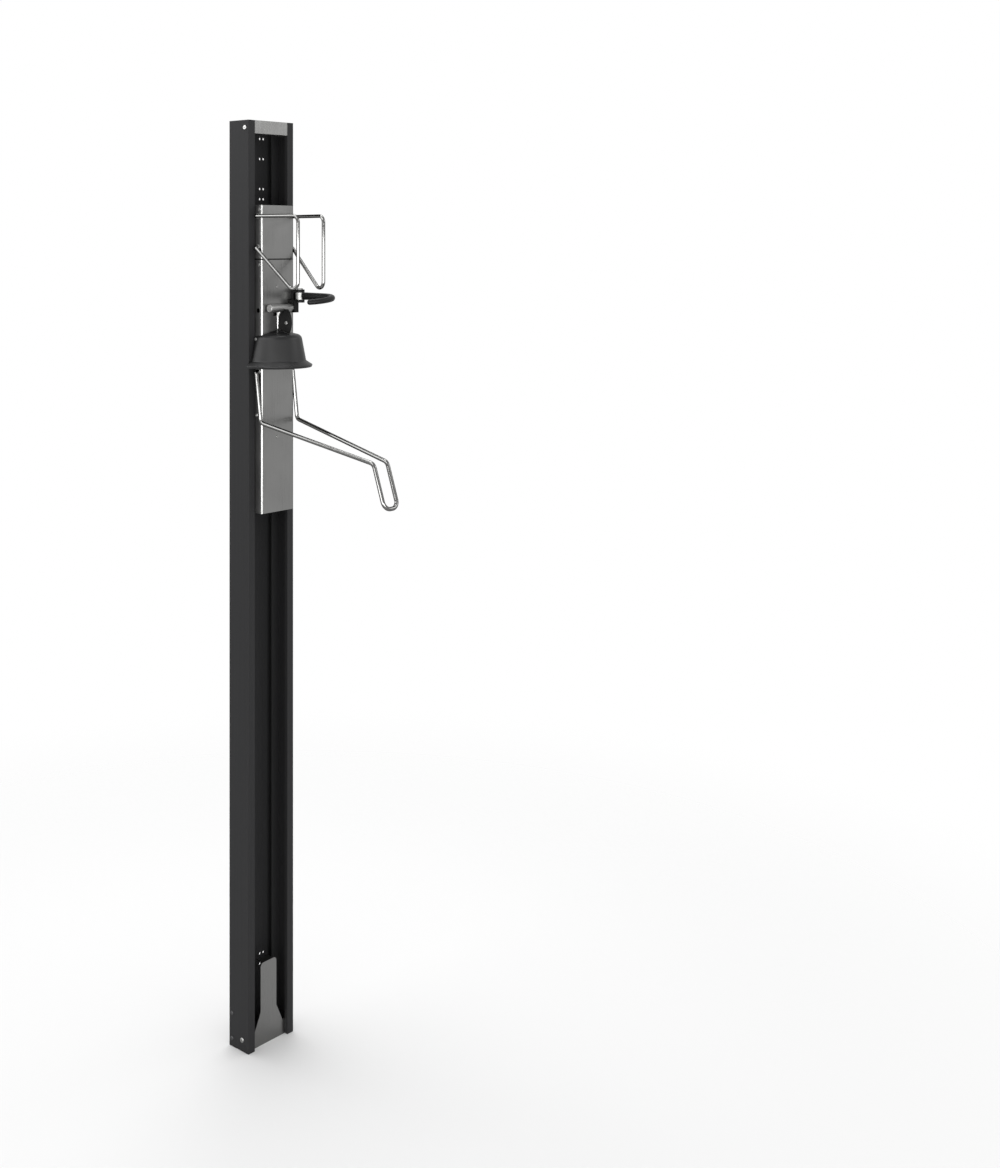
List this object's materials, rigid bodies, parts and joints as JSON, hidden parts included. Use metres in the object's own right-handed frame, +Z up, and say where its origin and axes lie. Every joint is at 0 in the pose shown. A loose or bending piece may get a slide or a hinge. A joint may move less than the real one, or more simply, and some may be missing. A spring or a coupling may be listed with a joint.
{
  "type": "wall bicycle lift rack",
  "caption": "Tall wall rail with a sliding carriage that holds a bicycle upright by its front wheel, with wire hoops, a swinging hook, a hood and a pull-down handle.",
  "frame": {"origin": "centre of the rectangle of four wall bolt holes, on the wall plane, at half the rail's height", "axes": "+Z up along the rail, +X to the right as seen by someone facing the wall, +Y into the wall"},
  "size_m": [0.1376, 0.392, 1.84],
  "materials": {
    "dark_powder_coat": "satin",
    "silver_sheet": "satin",
    "plated_steel": "satin",
    "dark_screws": "satin",
    "bright_wire": "polished",
    "black_moulding": "matte",
    "dark_bracket": "satin",
    "hook_rubber": "matte",
    "glide_nylon": "matte",
    "dark_spring": "satin",
    "nitrided_rod": "satin"
  },
  "bodies": {
    "rail": {"wall_rail": "dark_powder_coat", "top_cap": "silver_sheet", "cap_screws": "plated_steel", "foot_plate": "silver_sheet", "foot_screws": "plated_steel", "spring_anchor": "plated_steel", "anchor_screws": "dark_screws", "anchor_pin": "plated_steel", "cylinder_end": "dark_spring", "spring_cylinder": "dark_spring", "rod_guide": "dark_spring"},
    "carriage": {"piston": "plated_steel", "piston_rod": "nitrided_rod", "spring_bridge": "plated_steel", "rod_nut": "plated_steel", "carriage_frame": "plated_steel", "glide_shoe_upper_left": "glide_nylon", "glide_shoe_upper_right": "glide_nylon", "glide_shoe_lower_left": "glide_nylon", "glide_shoe_lower_right": "glide_nylon", "shoe_screws": "plated_steel", "shoe_nuts": "plated_steel", "upper_cover": "silver_sheet", "lower_cover": "silver_sheet", "cover_rivets": "plated_steel", "cover_screws": "plated_steel", "hoop_left": "bright_wire", "hoop_right": "bright_wire", "hoop_collars": "bright_wire", "cradle_wire": "bright_wire", "cradle_collars": "bright_wire", "hood": "black_moulding", "hood_screws": "plated_steel", "hook_bracket": "dark_bracket", "bracket_bolt": "plated_steel", "bracket_nut": "plated_steel", "hook_crossbar": "plated_steel", "hook_knuckle": "plated_steel", "hook_pin": "plated_steel"},
    "hook": {"hook_arm": "plated_steel", "hook_sleeve": "hook_rubber"}
  },
  "joints": [
    {"name": "carriage_slide", "type": "slide", "parent": "rail", "child": "carriage", "axis": [0, 0, 1], "range_m": [-0.75, 0]},
    {"name": "hook_swing", "type": "hinge", "parent": "carriage", "child": "hook", "pos_m": [0.044, -0.095, 0.571], "axis": [0, 0, 1], "range_deg": [0, 95]}
  ]
}
